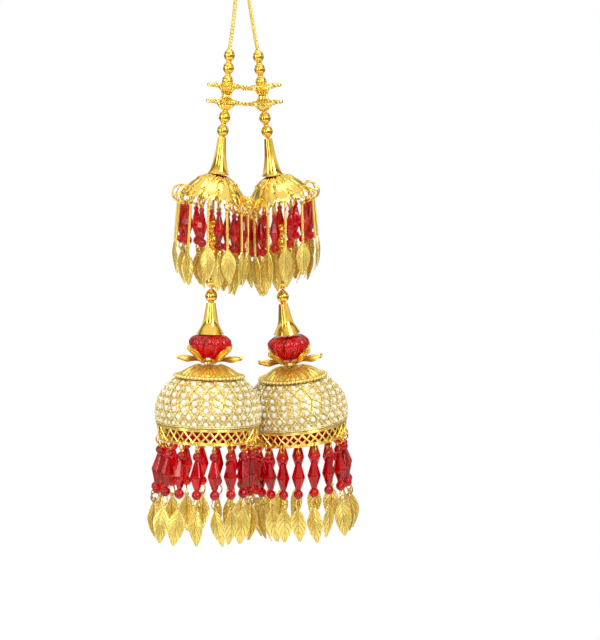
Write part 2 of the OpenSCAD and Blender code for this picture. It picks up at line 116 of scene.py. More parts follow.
def wires(paths, radius, closed=False, resolution=1):
    # mesh of round wires along paths, made as one curve with a bevel
    curve = bpy.data.curves.new("wires", "CURVE")
    curve.dimensions = "3D"
    curve.bevel_depth = radius
    curve.bevel_resolution = resolution
    curve.use_fill_caps = not closed
    curve.resolution_u = 1
    for path in paths:
        spline = curve.splines.new("POLY")
        spline.points.add(len(path) - 1)
        for point, p in zip(spline.points, path):
            point.co = (p[0], p[1], p[2], 1)
        spline.use_cyclic_u = closed
    obj = bpy.data.objects.new("wires", curve)
    bpy.context.scene.collection.objects.link(obj)
    mesh = bpy.data.meshes.new_from_object(obj.evaluated_get(bpy.context.evaluated_depsgraph_get()))
    bpy.data.objects.remove(obj)
    bpy.data.curves.remove(curve)
    return mesh


def ropePaths(path, plies, offset, pitch, phase=0.0):
    # helical plies round a path of close points
    out = [[] for _ in range(plies)]
    run = 0.0
    across = None
    for i, p in enumerate(path):
        along = (path[min(i + 1, len(path) - 1)] - path[max(i - 1, 0)]).normalized()
        if across is None:
            across = along.orthogonal().normalized()
        across = (across - along * across.dot(along)).normalized()
        up = along.cross(across)
        if i:
            run += (p - path[i - 1]).length
        for k in range(plies):
            a = 2 * math.pi * (run / pitch + k / plies) + phase
            out[k].append(p + offset * (math.cos(a) * across + math.sin(a) * up))
    return out


def ringPath(r, steps=28):
    return [polar(r, 360 * k / steps, 0) for k in range(steps)]


def addMesh(bm, mesh, matrix=None):
    before = len(bm.verts)
    bm.from_mesh(mesh)
    if matrix is not None:
        bm.verts.ensure_lookup_table()
        bmesh.ops.transform(bm, matrix=matrix, verts=bm.verts[before:])


def asMesh(bm):
    mesh = bpy.data.meshes.new("part")
    bm.to_mesh(mesh)
    bm.free()
    return mesh


def lathe(line, steps=48, ribs=0, ribDepth=0.0):
    # turned shape from an outline of (radius, height) rows
    bm = bmesh.new()
    verts = [bm.verts.new((r, 0, z)) for r, z in line]
    for a, b in zip(verts, verts[1:]):
        bm.edges.new((a, b))
    bmesh.ops.spin(bm, geom=bm.verts[:] + bm.edges[:], cent=(0, 0, 0), axis=(0, 0, 1),
                   angle=2 * math.pi, steps=steps, use_merge=True)
    bmesh.ops.remove_doubles(bm, verts=bm.verts, dist=0.001)
    if ribs:
        for v in bm.verts:
            r = math.hypot(v.co.x, v.co.y)
            a = math.atan2(v.co.y, v.co.x)
            f = 1 - ribDepth * (0.5 - 0.5 * math.cos(ribs * a)) * min(r / 2, 1) / max(r, 0.1)
            v.co.x *= f
            v.co.y *= f
    bmesh.ops.recalc_face_normals(bm, faces=bm.faces)
    return asMesh(bm)


def ball(r, around, rows):
    bm = bmesh.new()
    bmesh.ops.create_uvsphere(bm, u_segments=around, v_segments=rows, radius=r)
    return asMesh(bm)


def smoothLine(line, steps):
    pts = rounded([Vector((r, z, 0)) for r, z in line], steps)
    return [(p.x, p.y) for p in pts]


def polarSheet(rIn, rOut, height, radial, around, thickness, holes=(), holeR=0.0):
    # round relief sheet: rOut(angle) is its edge and height(r, angle) its surface
    bm = bmesh.new()
    bmesh.ops.create_grid(bm, x_segments=radial, y_segments=around, size=0.5)
    for v in bm.verts:
        a = (v.co.y + 0.5) * 360
        edge = rOut(a)
        r = rIn + (edge - rIn) * (v.co.x + 0.5)
        p = polar(r, a, height(r, a, edge))
        v.co = p
    bmesh.ops.remove_doubles(bm, verts=bm.verts, dist=0.0005)
    gone = [f for f in bm.faces
            if any((f.calc_center_median().xy - h.xy).length < holeR for h in holes)]
    if gone:
        bmesh.ops.delete(bm, geom=gone, context="FACES")
    bmesh.ops.recalc_face_normals(bm, faces=bm.faces)
    up = sum(f.normal.z for f in bm.faces)
    if up < 0:
        bmesh.ops.reverse_faces(bm, faces=bm.faces)
    bmesh.ops.solidify(bm, geom=bm.faces[:], thickness=thickness)
    bmesh.ops.recalc_face_normals(bm, faces=bm.faces)
    return asMesh(bm)


def setPaintedShadeAndCrest(mesh, strength):
    # one value a vertex: below 0.5 in hollows, which the metal materials darken as painted shade, and above
    # 0.5 on crests, which get a lighter colour
    neighbours = [[] for _ in mesh.vertices]
    for e in mesh.edges:
        a, b = e.vertices
        neighbours[a].append(b)
        neighbours[b].append(a)
    layer = mesh.attributes.new("painted_shade_and_crest", "FLOAT", "POINT")
    values = []
    for v in mesh.vertices:
        total = 0.0
        for j in neighbours[v.index]:
            d = mesh.vertices[j].co - v.co
            if d.length > 0:
                total += v.normal.dot(d.normalized())
        values.append(min(max(0.5 - strength * total / max(len(neighbours[v.index]), 1), 0), 1))
    for _ in range(2):  # spread each value a little
        values = [0.5 * values[i] + 0.5 * sum(values[j] for j in n) / max(len(n), 1)
                  for i, n in enumerate(neighbours)]
    layer.data.foreach_set("value", values)


def makePiece(name, parts, material, replaced, smooth=40, painted_shade_and_crest=1.6):
    bm = bmesh.new()
    for mesh, matrix in parts:
        addMesh(bm, mesh, matrix)
    bmesh.ops.scale(bm, vec=(mm, mm, mm), verts=bm.verts)
    mesh = asMesh(bm)
    mesh.name = name
    mesh.polygons.foreach_set("use_smooth", [True] * len(mesh.polygons))
    if smooth < 180:
        mesh.set_sharp_from_angle(angle=math.radians(smooth))
    # painted shade in hollows and a lighter colour on crests, stored per vertex
    setPaintedShadeAndCrest(mesh, painted_shade_and_crest)
    mesh.materials.append(material)
    obj = bpy.data.objects.new(name, mesh)
    bpy.context.scene.collection.objects.link(obj)
    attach(obj, "root")
    if replaced:
        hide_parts(*replaced)
    return obj


# metals, glass and pearl
def newMaterial(name):
    mat = bpy.data.materials.new(name)
    mat.use_nodes = True
    return mat, mat.node_tree, mat.node_tree.nodes["Principled BSDF"]


def addNode(tree, kind, **values):
    node = tree.nodes.new(kind)
    for key, value in values.items():
        if key in node.inputs:
            node.inputs[key].default_value = value
        else:
            setattr(node, key, value)
    return node


def addRamp(tree, source, stops):
    ramp = tree.nodes.new("ShaderNodeValToRGB")
    while len(ramp.color_ramp.elements) < len(stops):
        ramp.color_ramp.elements.new(0.5)
    for element, (place, colour) in zip(ramp.color_ramp.elements, stops):
        element.position = place
        element.color = (*colour, 1)
    tree.links.new(source, ramp.inputs["Fac"])
    return ramp


def metalMaterial(name, look):
    mat, tree, bsdf = newMaterial(name)
    coords = addNode(tree, "ShaderNodeTexCoord")
    painted_shade_and_crest = addNode(tree, "ShaderNodeAttribute", attribute_name="painted_shade_and_crest")
    tint = addNode(tree, "ShaderNodeTexNoise", Scale=look["tintScale"], Detail=3.0)
    tree.links.new(coords.outputs["Object"], tint.inputs["Vector"])
    # hollows take the painted_shade_colour as painted shade, crests the lighter crest colour
    crest = addRamp(tree, painted_shade_and_crest.outputs["Fac"],
                    [(0.22, look["painted_shade_colour"]), (0.42, look["colour"]), (0.7, look["crest"])])
    if not look.get("painted_shade_and_crest", True):
        crest.color_ramp.elements[0].color = (*look["colour"], 1)
        crest.color_ramp.elements[2].color = (*look["colour"], 1)
    warm = addRamp(tree, tint.outputs["Fac"], [(0.35, (1.0, 0.93, 0.8)), (0.65, (1.0, 1.0, 1.0))])
    mix = addNode(tree, "ShaderNodeMix", data_type="RGBA", blend_type="MULTIPLY")
    mix.inputs["Factor"].default_value = 1.0
    tree.links.new(crest.outputs["Color"], mix.inputs["A"])
    tree.links.new(warm.outputs["Color"], mix.inputs["B"])
    tree.links.new(mix.outputs["Result"], bsdf.inputs["Base Color"])
    grain = addNode(tree, "ShaderNodeTexNoise", Scale=look["grainScale"], Detail=2.0)
    tree.links.new(coords.outputs["Object"], grain.inputs["Vector"])
    rough = addNode(tree, "ShaderNodeMapRange")
    rough.inputs["To Min"].default_value = look["rough"][0]
    rough.inputs["To Max"].default_value = look["rough"][1]
    tree.links.new(grain.outputs["Fac"], rough.inputs["Value"])
    tree.links.new(rough.outputs["Result"], bsdf.inputs["Roughness"])
    lumps = addNode(tree, "ShaderNodeBump", Strength=look["bump"], Distance=0.0001)
    tree.links.new(grain.outputs["Fac"], lumps.inputs["Height"])
    tree.links.new(lumps.outputs["Normal"], bsdf.inputs["Normal"])
    bsdf.inputs["Metallic"].default_value = look.get("metal", 1.0)
    return mat


# each metal's painted_shade_colour is darkening painted into hollows where shade falls
gold = metalMaterial("gold", {
    "colour": (1.0, 0.71, 0.13), "crest": (1.0, 0.82, 0.26), "painted_shade_colour": (0.42, 0.19, 0.02),
    "tintScale": 220, "grainScale": 900, "rough": (0.1, 0.2), "bump": 0.04})
plainGold = metalMaterial("plain_gold", {
    "colour": (0.98, 0.68, 0.13), "crest": (1, 1, 1), "painted_shade_colour": (0, 0, 0), "painted_shade_and_crest": False,
    "tintScale": 160, "grainScale": 700, "rough": (0.07, 0.15), "bump": 0.03})
satinGold = metalMaterial("satin_gold", {
    "colour": (1.0, 0.76, 0.15), "crest": (1.0, 0.86, 0.34), "painted_shade_colour": (0.6, 0.3, 0.03),
    "tintScale": 220, "grainScale": 900, "rough": (0.18, 0.28), "bump": 0.05, "metal": 0.8})
leafMetal = {
    "colour": (1.0, 0.79, 0.16), "crest": (1.0, 0.9, 0.36), "painted_shade_colour": (0.8, 0.5, 0.06),
    "tintScale": 300, "grainScale": 1300, "rough": (0.2, 0.34), "bump": 0.1,
    "veins": 6.0, "slant": 2.0, "metal": 0.65}
leafGold = metalMaterial("leaf_gold", leafMetal)


def addVeins(mat, look):
    # engraved side veins and midrib, along the leaf's own UV map; the grooves are cut by a bump and darkened
    # in the colour as painted shade
    tree = mat.node_tree
    bsdf = tree.nodes["Principled BSDF"]

    def maths(operation, a, b=None):
        node = addNode(tree, "ShaderNodeMath", operation=operation)
        for socket, value in zip(node.inputs, (a, b)):
            if value is None:
                continue
            if isinstance(value, (int, float)):
                socket.default_value = value
            else:
                tree.links.new(value, socket)
        return node.outputs["Value"]

    def step(value, lo, hi, out=(0.0, 1.0)):
        node = addNode(tree, "ShaderNodeMapRange", interpolation_type="SMOOTHSTEP")
        node.inputs["From Min"].default_value, node.inputs["From Max"].default_value = lo, hi
        node.inputs["To Min"].default_value, node.inputs["To Max"].default_value = out
        tree.links.new(value, node.inputs["Value"])
        return node.outputs["Result"]

    uv = addNode(tree, "ShaderNodeUVMap", uv_map="UVMap")
    split = addNode(tree, "ShaderNodeSeparateXYZ")
    tree.links.new(uv.outputs["UV"], split.inputs["Vector"])
    across = maths("MULTIPLY", maths("ABSOLUTE", maths("SUBTRACT", split.outputs["Y"], 0.5)), 2.0)
    along = maths("MULTIPLY", split.outputs["X"], look["veins"])
    phase = maths("SUBTRACT", along, maths("MULTIPLY", across, look["slant"]))
    veins = step(maths("PINGPONG", phase, 0.5), 0.04, 0.2, (1.0, 0.0))
    veins = maths("MULTIPLY", veins, step(across, 0.82, 0.95, (1.0, 0.0)))
    midrib = maths("MULTIPLY", step(across, 0.03, 0.13, (1.0, 0.0)),
                   step(split.outputs["X"], 0.9, 1.0, (1.0, 0.0)))
    lines = maths("MAXIMUM", veins, midrib)
    # painted shade: the vein grooves are darkened in the base colour
    veinShadePaint = addNode(tree, "ShaderNodeMix", data_type="RGBA", blend_type="MULTIPLY")
    veinShadePaint.inputs["B"].default_value = (0.52, 0.36, 0.14, 1)
    tree.links.new(maths("MULTIPLY", lines, 0.6), veinShadePaint.inputs["Factor"])
    tree.links.new(bsdf.inputs["Base Color"].links[0].from_socket, veinShadePaint.inputs["A"])
    tree.links.new(veinShadePaint.outputs["Result"], bsdf.inputs["Base Color"])
    cut = addNode(tree, "ShaderNodeBump", Strength=0.6, Distance=0.0002, invert=True)
    tree.links.new(lines, cut.inputs["Height"])
    tree.links.new(bsdf.inputs["Normal"].links[0].from_socket, cut.inputs["Normal"])
    tree.links.new(cut.outputs["Normal"], bsdf.inputs["Normal"])


addVeins(leafGold, leafMetal)
paleGold = metalMaterial("pale_gold", {
    "colour": (1.0, 0.87, 0.36), "crest": (1.0, 0.95, 0.58), "painted_shade_colour": (0.75, 0.52, 0.1),
    "tintScale": 260, "grainScale": 1400, "rough": (0.25, 0.38), "bump": 0.08, "metal": 0.55})


def addCells(mat, look):
    # fine net of dents between small cells, darkened in the colour as painted shade
    tree = mat.node_tree
    bsdf = tree.nodes["Principled BSDF"]
    coords = addNode(tree, "ShaderNodeTexCoord")
    cells = addNode(tree, "ShaderNodeTexVoronoi", feature="DISTANCE_TO_EDGE", Scale=look["scale"])
    tree.links.new(coords.outputs["Object"], cells.inputs["Vector"])
    # painted shade in the dents of the net
    net = addRamp(tree, cells.outputs["Distance"], [(0.02, look["net"]), (0.14, (1, 1, 1))])
    mix = addNode(tree, "ShaderNodeMix", data_type="RGBA", blend_type="MULTIPLY")
    mix.inputs["Factor"].default_value = 1.0
    tree.links.new(bsdf.inputs["Base Color"].links[0].from_socket, mix.inputs["A"])
    tree.links.new(net.outputs["Color"], mix.inputs["B"])
    tree.links.new(mix.outputs["Result"], bsdf.inputs["Base Color"])
    dents = addNode(tree, "ShaderNodeBump", Strength=0.35, Distance=0.0002)
    tree.links.new(net.outputs["Color"], dents.inputs["Height"])
    tree.links.new(bsdf.inputs["Normal"].links[0].from_socket, dents.inputs["Normal"])
    tree.links.new(dents.outputs["Normal"], bsdf.inputs["Normal"])


addCells(paleGold, {"scale": 800, "net": (0.62, 0.48, 0.2)})
ropeGold = metalMaterial("rope_gold", {
    "colour": (0.98, 0.68, 0.13), "crest": (1.0, 0.82, 0.28), "painted_shade_colour": (0.4, 0.19, 0.02),
    "tintScale": 500, "grainScale": 2500, "rough": (0.18, 0.32), "bump": 0.12})


def rubyMaterial(name, look):
    mat, tree, bsdf = newMaterial(name)
    coords = addNode(tree, "ShaderNodeTexCoord")
    cloud = addNode(tree, "ShaderNodeTexNoise", Scale=look["cloudScale"], Detail=2.0)
    tree.links.new(coords.outputs["Object"], cloud.inputs["Vector"])
    ramp = addRamp(tree, cloud.outputs["Fac"], [(0.35, look["deep"]), (0.65, look["bright"])])
    tree.links.new(ramp.outputs["Color"], bsdf.inputs["Base Color"])
    bsdf.inputs["Roughness"].default_value = look["rough"]
    bsdf.inputs["Transmission Weight"].default_value = look["clear"]
    bsdf.inputs["IOR"].default_value = 1.52
    return mat


ruby = rubyMaterial("ruby", {
    "deep": (0.5, 0.0, 0.004), "bright": (0.8, 0.0, 0.01),
    "cloudScale": 160, "rough": 0.015, "clear": 0.86})


def pearlMaterial(name, look):
    mat, tree, bsdf = newMaterial(name)
    coords = addNode(tree, "ShaderNodeTexCoord")
    cloud = addNode(tree, "ShaderNodeTexNoise", Scale=look["cloudScale"], Detail=1.0)
    tree.links.new(coords.outputs["Object"], cloud.inputs["Vector"])
    ramp = addRamp(tree, cloud.outputs["Fac"],
                   [(0.3, look["pink"]), (0.5, look["colour"]), (0.7, look["green"])])
    tree.links.new(ramp.outputs["Color"], bsdf.inputs["Base Color"])
    bsdf.inputs["Roughness"].default_value = look["rough"]
    bsdf.inputs["Coat Weight"].default_value = 0.8
    bsdf.inputs["Coat Roughness"].default_value = 0.08
    bsdf.inputs["Sheen Weight"].default_value = 0.3
    return mat


# the red foil also has painted shade in its hollows
redFoil = metalMaterial("red_foil", {
    "colour": (0.4, 0.006, 0.008), "crest": (0.55, 0.012, 0.014), "painted_shade_colour": (0.12, 0.0, 0.003),
    "tintScale": 200, "grainScale": 900, "rough": (0.3, 0.45), "bump": 0.2})
pearl = pearlMaterial("pearl", {
    "colour": (0.9, 0.88, 0.83), "pink": (0.92, 0.82, 0.8), "green": (0.82, 0.88, 0.8),
    "cloudScale": 420, "rough": 0.22})
print("materials done")

# the cord is three plies wound round its route
cordLook = {"plies": 3, "offset": 0.38, "plyRadius": 0.34, "pitch": 3.6, "diameter": 1.4}
cordRoute = [
    (-4.4, -2.9, -21.8), (-4.1, -2.7, -19.0), (-3.6, -2.4, -15.5), (-3.1, -2.1, -12.0),
    (-2.7, -1.8, -8.5), (-2.4, -1.6, -5.0), (-2.2, -1.4, -3.0), (-1.8, -1.2, -1.2),
    (-1.0, -0.7, 0.2), (0, 0, 0.7), (1.0, 0.7, 0.2), (1.8, 1.2, -1.2), (2.4, 1.5, -3.0),
    (2.8, 1.7, -5.2), (3.4, 2.0, -9.0), (4.1, 2.3, -13.0), (4.8, 2.6, -17.5),
    (5.4, 2.8, -20.5), (5.7, 2.9, -22.2)]
cordPath = rounded([Vector(p) for p in cordRoute], 12)
plies = ropePaths(cordPath, cordLook["plies"], cordLook["offset"], cordLook["pitch"])
cordMesh = wires(plies, cordLook["plyRadius"], resolution=2)
cord = makePiece("gold_cord", [(cordMesh, None)], ropeGold, ["cord_loop"], smooth=180, painted_shade_and_crest=3.0)

# round beads with a small neck at each end
beadLook = {"stretch": 1.05, "collar": 0.95, "steps": 28}
topBeads = [(4.1, 2.2), (4.1, 6.9), (4.1, 11.6)]        # size and drop below the joint
midBeads = [(4.3, 2.3), (4.3, 7.3)]
innerBeads = [(4.5, 2.6), (4.5, 8.2), (4.2, 13.7), (4.1, 18.5), (4.1, 23.2), (4.1, 27.9)]  # over the cone


def roundBead(d, look):
    h = d / 2 * look["stretch"]
    line = [(0.62, h + 0.2), (look["collar"], h + 0.16), (look["collar"], h - 0.1)]
    start = math.asin(look["collar"] / (d / 2))
    for k in range(15):
        a = start + 0.06 + (math.pi - 2 * start - 0.12) * k / 14
        line.append((d / 2 * math.sin(a), h * math.cos(a)))
    line += [(look["collar"], 0.1 - h), (look["collar"], -h - 0.16), (0.62, -h - 0.2), (0.62, h + 0.2)]
    return lathe(line, look["steps"])


for s, side in enumerate(sides):
    strings = [("top_beads", 0, topBeads, [f"{side}_top_bead_{k}" for k in (1, 2, 3)]),
               ("mid_beads", 3, midBeads, [f"{side}_mid_bead_{k}" for k in (1, 2)])]
    for name, joint, rows, replaced in strings:
        parts = [(roundBead(d, beadLook), strandFrame(s, joint) @ shift(0, 0, -drop)) for d, drop in rows]
        makePiece(f"{side}_{name}", parts, plainGold, replaced, smooth=50)
    run = (joints[s][6] - joints[s][7]).length
    parts = [(roundBead(d, beadLook), strandFrame(s, 6) @ shift(0, 0, up - run)) for d, up in innerBeads]
    makePiece(f"{side}_string_beads", parts, plainGold, [f"{side}_inner_beads"], smooth=50)
print("beads done")

# flower spacers: a ribbed cup and bulb, each with rope petals
spacerLook = {"petals": 6, "reach": 7.2, "width": 3.0, "rope": 0.4, "ribs": 12}
cupLine = [(0.65, -2.7), (1.7, -2.7), (2.2, -1.6), (3.2, -0.3), (3.2, 0.9), (2.3, 0.9), (1.4, -0.2),
           (0.65, -0.2)]
bulbLine = [(0.65, -0.1), (1.7, -0.1), (2.0, -1.2), (2.9, -2.3), (3.3, -3.0), (3.0, -4.2), (1.9, -5.4),
            (1.3, -5.8), (0.65, -5.8)]


def rosetteMesh(look):
    half = look["width"] / 2 - look["rope"]
    tip = look["reach"] - look["width"] / 2
    loop = [Vector((2.2, -half, 0)), Vector((tip - 1, -half, 0)), Vector((tip, -half, 0))]
    loop += [Vector((tip + half * math.sin(math.radians(a)), -half * math.cos(math.radians(a)), 0))
             for a in range(20, 180, 20)]
    loop += [Vector((tip, half, 0)), Vector((tip - 1, half, 0)), Vector((2.2, half, 0))]
    bm = bmesh.new()
    outline = wires(ropePaths(rounded(loop, 5), 2, look["rope"] * 0.75, 2.4), look["rope"], resolution=1)
    core = [[Vector((2.0, 0, 0)), Vector((4.0, 0, 0)), Vector((tip + half * 0.4, 0, 0))]]
    vein = wires(ropePaths(rounded(core[0], 8), 2, 0.32, 2.2), 0.4, resolution=1)
    for k in range(look["petals"]):
        addMesh(bm, outline, turn(360 * k / look["petals"]))
        addMesh(bm, vein, turn(360 * k / look["petals"]))
    return asMesh(bm)


rosette = rosetteMesh(spacerLook)
cup = lathe(smoothLine(cupLine, 4), 72, spacerLook["ribs"], 0.4)
bulb = lathe(smoothLine(bulbLine, 4), 72, spacerLook["ribs"], 0.4)
for s, side in enumerate(sides):
    m = strandFrame(s, atSpacer)
    makePiece(f"{side}_flower_spacer_top", [(cup, m), (rosette, m @ shift(0, 0, 0.3))], gold,
              [f"{side}_spacer_upper"])
    m = strandFrame(s, atNeck)
    makePiece(f"{side}_flower_spacer_foot", [(bulb, m), (rosette, m @ shift(0, 0, -2.9))], gold,
              [f"{side}_spacer_lower"])
print("spacers done")

# smooth trumpet cones
coneLook = {"wall": 0.6, "bore": 0.65, "steps": 96}
upperConeLine = [(1.5, -0.1), (1.8, -3.6), (2.2, -7.2), (2.9, -10.7), (3.5, -12.7), (4.1, -13.8)]
lowerConeLine = [(1.7, -0.1), (2.1, -2.7), (2.7, -6.4), (3.3, -8.3), (4.3, -10.1), (5.1, -11.6)]


def trumpet(line, look):
    outer = smoothLine(line, 6)
    inner = [(r - look["wall"], z) for r, z in reversed(outer) if z < line[2][1]]
    closing = [(look["bore"], line[2][1]), (look["bore"], line[0][1])]
    return lathe(closing[1:] + outer + inner + closing, look["steps"])


for s, side in enumerate(sides):
    cones = (("upper_cone", atUpperCone, upperConeLine), ("lower_cone", atLowerCone, lowerConeLine))
    for name, joint, line in cones:
        parts = [(trumpet(line, coneLook), strandFrame(s, joint))]
        makePiece(f"{side}_{name}_shell", parts, plainGold, [f"{side}_{name}"])
print("cones done")

# flower caps with two rings of petals
capLook = {"lobeR": 3.0, "tip": 13.3, "sheet": 0.42, "turns": (-22, -5), "eyelet": 0.62}
capLine = [(0.9, -0.05), (1.6, -0.1), (3.6, -0.4), (6.0, -1.6), (8.4, -3.5), (10.4, -5.7), (12.1, -8.2),
           (13.6, -10.8)]
smoothCap = smoothLine(capLine, 5)


def lobeAngle(s, k):
    return capLook["turns"][s] - 75 + 30 * k


def valleyAngle(s, k):
    return capLook["turns"][s] - 90 + 30 * k


def capEdge(s, a):
    # edge of the lobes: circles round points on a ring
    d = math.radians((a - lobeAngle(s, 0) + 15) % 30 - 15)
    c = capLook["tip"] - capLook["lobeR"]
    return c * math.cos(d) + math.sqrt(max(capLook["lobeR"] ** 2 - (c * math.sin(d)) ** 2, 0))


def capHeight(s):
    def height(r, a, edge):
        z = lineAt(smoothCap, r)
        d = (a - lobeAngle(s, 0) + 15) % 30 - 15              # from the outer petal's middle
        u = min(abs(math.radians(d)) / math.radians(15), 1)
        outer = smoothStep(r, 6.5, 8.0)
        pillow = 0.6 * (1 - u * u) - 0.45 * bump(u, 1, 0.16)
        dish = -0.3 * bump(u, 0, 0.4) * (1 - smoothStep(r, edge - 1.3, edge - 0.5))
        rim = 0.35 * bump(edge - r, 0.35, 0.3)
        d2 = (a - valleyAngle(s, 0) + 3.0 * (r - 5) + 15) % 30 - 15   # swirling inner petals
        u2 = min(abs(d2) / 15, 1)
        tip = 7.9 - 2.2 * u2 * u2
        inner = smoothStep(r, 1.4, 2.6) * (1 - smoothStep(r, tip - 0.25, tip + 0.1))
        arch = inner * (0.75 - 0.5 * u2 * u2 - 0.25 * bump(u2, 0, 0.3) + 0.25 * bump(tip - r, 0.35, 0.3))
        return z + 0.05 + max(arch, outer * (pillow + dish + rim) * (1 - inner))
    return height


for s, side in enumerate(sides):
    m = strandFrame(s, atFlowerCap)
    holes = [polar(12.2, lobeAngle(s, k), 0) for k in range(12)]
    holes += [polar(10.2, valleyAngle(s, k), 0) for k in range(12)]
    sheet = polarSheet(0.9, lambda a: capEdge(s, a), capHeight(s), 48, 288, capLook["sheet"], holes, 0.55)
    parts = [(sheet, m)]
    eyelet = wires([ringPath(capLook["eyelet"], 14)], 0.13, closed=True, resolution=1)
    for h in holes:
        r = h.length
        slope = math.degrees(math.atan2(lineAt(smoothCap, r - 0.4) - lineAt(smoothCap, r + 0.4), 0.8))
        a = math.degrees(math.atan2(h.y, h.x))
        parts.append((eyelet, m @ turn(a) @ shift(r, 0, lineAt(smoothCap, r) + 0.2) @ turn(slope, "Y")))
    makePiece(f"{side}_petal_cap", parts, gold, [f"{side}_flower_cap"], smooth=60, painted_shade_and_crest=3.2)
print("flower caps done")

# fluted red beads
rubyLook = {"flutes": 12, "depth": 0.8, "swirl": 14}
rubyLine = [(0.65, -0.3), (5.0, -0.3), (6.6, -1.0), (7.6, -1.9), (8.0, -3.0), (7.7, -4.3), (6.7, -6.0),
            (5.0, -7.8), (3.0, -9.3), (0.65, -9.3)]


def fluted(line, look):
    bm = bmesh.new()
    mesh = lathe(smoothLine(line, 3), 96)
    addMesh(bm, mesh)
    for v in bm.verts:
        r = math.hypot(v.co.x, v.co.y)
        if r < 1:
            continue
        a = math.degrees(math.atan2(v.co.y, v.co.x))
        f = abs((a * look["flutes"] / 360) % 1 - 0.5) * 2      # 1 on a crest, 0 in a flute
        keep = 1 - look["depth"] * (1 - f) ** 1.3 / 8
        v.co = polar(r * keep, a + look["swirl"] * v.co.z / 9, v.co.z)
    bmesh.ops.recalc_face_normals(bm, faces=bm.faces)
    return asMesh(bm)


flutedBead = fluted(rubyLine, rubyLook)
for s, side in enumerate(sides):
    makePiece(f"{side}_fluted_bead", [(flutedBead, strandFrame(s, atRedBead))], ruby,
              [f"{side}_red_bead"], smooth=60)
print("red beads done")

# lotus: every other petal droops or stands
lotusLook = {"reach": 12.2, "reaches": (1, 0.86), "sheet": 0.5, "rise": 0.9}
lotusRows = [      # reach as a share, half width, height of the rims, rise of the middle over them
    [(0.17, 0.6, -0.6, 0.05), (0.4, 1.7, -0.2, 0.9), (0.66, 2.9, -0.5, 1.9), (0.88, 2.1, 0.1, 1.2),
     (1, 0.6, 0.9, 0.05)],
    [(0.17, 0.6, -0.5, 0.05), (0.4, 1.4, 0.4, -0.4), (0.68, 2.1, 2.9, -0.6), (0.88, 1.7, 4.4, -0.6),
     (1, 0.6, 4.9, 0.05)]]


def lotusPetal(raised, look):
    reach = look["reach"] * look["reaches"][raised]
    heads = rounded([Vector((r * reach, w, z)) for r, w, z, rise in lotusRows[raised]], 5)
    rises = rounded([Vector((rise, 0, 0)) for r, w, z, rise in lotusRows[raised]], 5)
    bm = bmesh.new()
    bmesh.ops.create_grid(bm, x_segments=len(heads) - 1, y_segments=24, size=0.5)
    for v in bm.verts:
        i = round((v.co.x + 0.5) * (len(heads) - 1))
        t = v.co.y * 2
        along = i / (len(heads) - 1)
        fade = smoothStep(along, 0.1, 0.3) * (1 - smoothStep(along, 0.85, 1.0))
        rims = 0.3 * bump(abs(t), 0.88, 0.1) + 0.24 * bump(abs(t), 0.52, 0.1) + 0.24 * bump(t, 0, 0.12)
        curl = 0.5 * smoothStep(along, 0.86, 1.0) * (1 - 0.6 * abs(t))
        v.co = (heads[i].x, heads[i].y * t,
                heads[i].z + rises[i].x * (1 - t * t) + look["rise"] + (rims - 0.15) * fade + curl)
    bmesh.ops.recalc_face_normals(bm, faces=bm.faces)
    if sum(f.normal.z for f in bm.faces) < 0:
        bmesh.ops.reverse_faces(bm, faces=bm.faces)
    bmesh.ops.solidify(bm, geom=bm.faces[:], thickness=look["sheet"])
    scroll = wires([[Vector((reach - 0.35, y, heads[-1].z + look["rise"] + 0.25)) for y in (-0.75, 0, 0.75)]],
                   0.5, resolution=2)
    addMesh(bm, scroll)
    bmesh.ops.recalc_face_normals(bm, faces=bm.faces)
    return asMesh(bm)


lotusPetals = [lotusPetal(0, lotusLook), lotusPetal(1, lotusLook)]
lotusHub = lathe([(0.65, -0.1), (2.2, -0.1), (2.6, -0.4), (2.6, -0.8), (2.2, -1.0), (0.65, -1.0)], 32)
for s, side in enumerate(sides):
    beadL = (joints[s][atRedBead] - joints[s][atLotus]).length
    m = strandFrame(s, atRedBead) @ shift(0, 0, -beadL)
    parts = [(lotusHub, m)]
    parts += [(lotusPetals[k % 2], m @ turn(45 * k - 90) @ shift(0, 0, -0.5)) for k in range(8)]
    makePiece(f"{side}_lotus", parts, satinGold, [f"{side}_lotus_cap"], smooth=50, painted_shade_and_crest=1.3)
print("lotus done")

# filigree caps with a beaded rim on the pearls
rimZ = -4.7
domeCentreZ = rimZ - 13
domeRise = 16.6
domeR = 20.0
domeFootZ = rimZ - 17.2
filigreeLook = {"r": 12.5, "sheet": 0.8, "grains": 52, "grainR": 0.64}


def domeZ(r):
    return domeCentreZ + domeRise * math.sqrt(1 - (r / domeR) ** 2)


filigreeLine = [(0.9, 4.3), (3.0, 4.2), (5.0, 3.9), (7.0, 3.2), (8.6, 2.5), (10.0, 1.65), (11.2, 0.95),
                (12.0, 0.55), (12.5, 0.35)]                      # height over the rim of the sheet


def filigreeHeight(r, a, edge):
    t = r / edge
    d = (a + 90 + 30) % 60 - 30                      # from the leaf's middle
    u = min(abs(d) / 30, 1)
    spread = 1 - u
    fade = smoothStep(t, 0.25, 0.4) * (1 - smoothStep(t, 0.86, 0.94))
    ridges = 0.17 * math.cos(2 * math.pi * (u * 2.4 + (1 - t) * 1.6)) * smoothStep(u, 0.06, 0.2)
    rib = 0.4 * bump(u, 0, 0.1)
    slit = -0.5 * bump(u, 1, 0.1) * smoothStep(t, 0.3, 0.6)
    rim = 0.2 * bump(edge - r, 0.55, 0.3)
    skirt = -0.3 * smoothStep(r, edge - 0.3, edge)   # the rim turns down to the pearls
    return min(domeZ(edge) + 0.15 + lineAt(filigreeLine, r) + (ridges + rib + slit) * fade + rim + skirt
               + 0.25 * spread * fade, -0.1)


